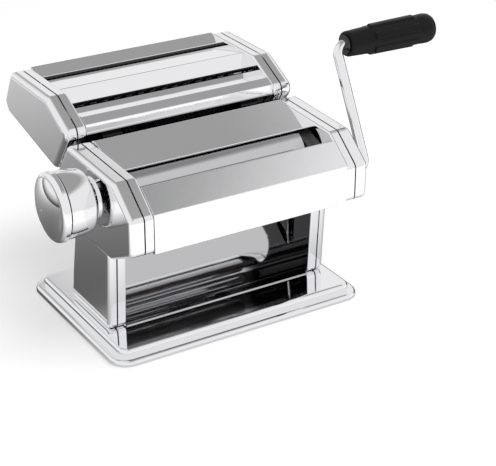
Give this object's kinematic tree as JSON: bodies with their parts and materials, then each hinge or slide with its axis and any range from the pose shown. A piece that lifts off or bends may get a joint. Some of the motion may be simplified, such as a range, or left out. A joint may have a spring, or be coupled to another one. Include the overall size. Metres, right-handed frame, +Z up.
{
  "type": "pasta roller machine",
  "caption": "Hand-cranked pasta roller on a pressed base, with adjustable smooth rollers, a thickness knob, a removable crank and a slide-off cutter head.",
  "frame": {"origin": "middle of the base underside, on the surface it stands on", "axes": "+X along the rollers towards the crank, -Y the front where the dough comes out, +Z up"},
  "size_m": [0.348, 0.2142, 0.2027],
  "materials": {
    "polished_sheet": "polished",
    "polished_turned": "polished",
    "bright_steel": "bright",
    "black_plastic": "satin",
    "nylon": "satin",
    "rubber": "matt"
  },
  "bodies": {
    "frame": {"base_plate": "polished_sheet", "base_feet": "rubber", "base_screws": "bright_steel", "left_inner_plate": "polished_sheet", "right_inner_plate": "polished_sheet", "left_cheek_cover": "polished_sheet", "right_cheek_cover": "polished_sheet", "left_leg_cover": "polished_sheet", "right_leg_cover": "polished_sheet", "front_panel": "polished_sheet", "feed_tray": "polished_sheet", "dough_slide": "polished_sheet", "tie_rods": "bright_steel", "tie_nuts": "bright_steel", "seat_rails": "bright_steel", "front_bushes": "nylon", "front_scraper": "nylon", "crank_grommet": "black_plastic", "spindle_bush": "nylon", "index_ring": "polished_turned"},
    "front_roller": {"front_roller": "polished_turned", "front_gear": "bright_steel"},
    "carrier": {"left_bearing_block": "nylon", "right_bearing_block": "nylon", "carrier_rod": "bright_steel", "rear_scraper": "nylon"},
    "rear_roller": {"rear_roller": "polished_turned", "rear_gear": "bright_steel"},
    "adjuster": {"adjuster_spindle": "polished_turned", "knob_screw": "polished_turned", "knob_spring": "polished_turned"},
    "knob": {"knob_body": "polished_turned", "knob_cap": "polished_turned", "detent_pin": "polished_turned"},
    "crank": {"crank_rod": "polished_turned", "grip_washer": "polished_turned"},
    "grip": {"crank_grip": "black_plastic"},
    "cutter_head": {"left_cutter_plate": "polished_sheet", "right_cutter_plate": "polished_sheet", "left_end_cap": "polished_sheet", "right_end_cap": "polished_sheet", "cutter_back_panel": "polished_sheet", "cutter_ridge": "polished_sheet", "cutter_front_panel": "polished_sheet", "fine_front_comb": "nylon", "fine_rear_comb": "nylon", "wide_front_comb": "nylon", "wide_rear_comb": "nylon", "cutter_tie_rods": "bright_steel", "cutter_bushes": "nylon"},
    "fine_front_roller": {"fine_front_cutter": "bright_steel", "fine_front_gear": "bright_steel"},
    "fine_rear_roller": {"fine_rear_cutter": "bright_steel", "fine_rear_gear": "bright_steel"},
    "wide_front_roller": {"wide_front_cutter": "bright_steel", "wide_front_gear": "bright_steel"},
    "wide_rear_roller": {"wide_rear_cutter": "bright_steel", "wide_rear_gear": "bright_steel"}
  },
  "joints": [
    {"name": "front_roller_spin", "type": "hinge", "parent": "frame", "child": "front_roller", "pos_m": [0, -0.06, 0.105], "axis": [1, 0, 0], "continuous": true},
    {"name": "knob_turn", "type": "hinge", "parent": "frame", "child": "adjuster", "pos_m": [-0.115, -0.0265, 0.1182], "axis": [1, 0, 0], "range_deg": [0, 180]},
    {"name": "knob_pull", "type": "slide", "parent": "adjuster", "child": "knob", "axis": [-1, 0, 0], "range_m": [0, 0.005], "stiffness_N_per_m": 600},
    {"name": "roller_gap", "type": "slide", "parent": "frame", "child": "carrier", "axis": [0, -0.9304, -0.3666], "range_m": [0, 0.00201]},
    {"name": "rear_roller_spin", "type": "hinge", "parent": "carrier", "child": "rear_roller", "pos_m": [0, -0.0265, 0.1182], "axis": [1, 0, 0], "continuous": true},
    {"name": "crank_pull", "type": "slide", "parent": "front_roller", "child": "crank", "axis": [1, 0, 0], "range_m": [0, 0.025]},
    {"name": "grip_spin", "type": "hinge", "parent": "crank", "child": "grip", "pos_m": [0.168, -0.0155, 0.19], "axis": [1, 0, 0], "continuous": true},
    {"name": "cutter_lift", "type": "slide", "parent": "frame", "child": "cutter_head", "axis": [0, -0.5736, 0.8192], "range_m": [0, 0.06]},
    {"name": "fine_front_spin", "type": "hinge", "parent": "cutter_head", "child": "fine_front_roller", "pos_m": [0, 0.086, 0.1525], "axis": [1, 0, 0], "continuous": true},
    {"name": "fine_rear_spin", "type": "hinge", "parent": "cutter_head", "child": "fine_rear_roller", "pos_m": [0, 0.105, 0.1525], "axis": [1, 0, 0], "continuous": true},
    {"name": "wide_front_spin", "type": "hinge", "parent": "cutter_head", "child": "wide_front_roller", "pos_m": [0, 0.0395, 0.1448], "axis": [1, 0, 0], "continuous": true},
    {"name": "wide_rear_spin", "type": "hinge", "parent": "cutter_head", "child": "wide_rear_roller", "pos_m": [0, 0.0585, 0.1448], "axis": [1, 0, 0], "continuous": true}
  ],
  "couplings": [
    {"joint": "roller_gap", "follows": "knob_turn", "m_per_rad": 0.00063662},
    {"joint": "rear_roller_spin", "follows": "front_roller_spin", "ratio": -1},
    {"joint": "fine_rear_spin", "follows": "fine_front_spin", "ratio": -1},
    {"joint": "wide_rear_spin", "follows": "wide_front_spin", "ratio": -1}
  ]
}
